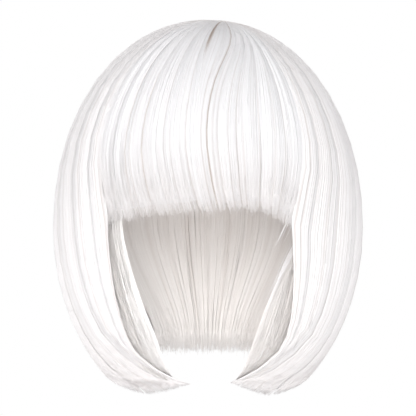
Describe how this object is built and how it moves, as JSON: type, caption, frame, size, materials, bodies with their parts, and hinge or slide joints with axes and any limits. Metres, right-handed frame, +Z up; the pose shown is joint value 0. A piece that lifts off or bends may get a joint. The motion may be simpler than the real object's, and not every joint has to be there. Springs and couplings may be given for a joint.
{
  "type": "bob wig",
  "caption": "Bob wig with a straight fringe and long front points: hair in locks over an open head cap, its inside open for the head, the face and the neck.",
  "frame": {"origin": "where the top of the head meets the inside of the cap", "axes": "+Z up along the head, -Y the way the face looks, +X to the right as seen from the front"},
  "size_m": [0.2321, 0.2334, 0.2777],
  "materials": {
    "white_hair": "smooth bright white fibre with a soft sheen along the strands",
    "inner_hair": "white fibre, warmer and duller inside",
    "cap_net": "matt fine net"
  },
  "bodies": {
    "root": {"cap": "cap_net", "bangs": "white_hair", "side_panel_left": "white_hair", "side_panel_right": "white_hair", "back_hair": "white_hair", "nape_hair": "inner_hair", "inner_lock_left": "white_hair", "inner_lock_right": "white_hair"}
  },
  "joints": []
}
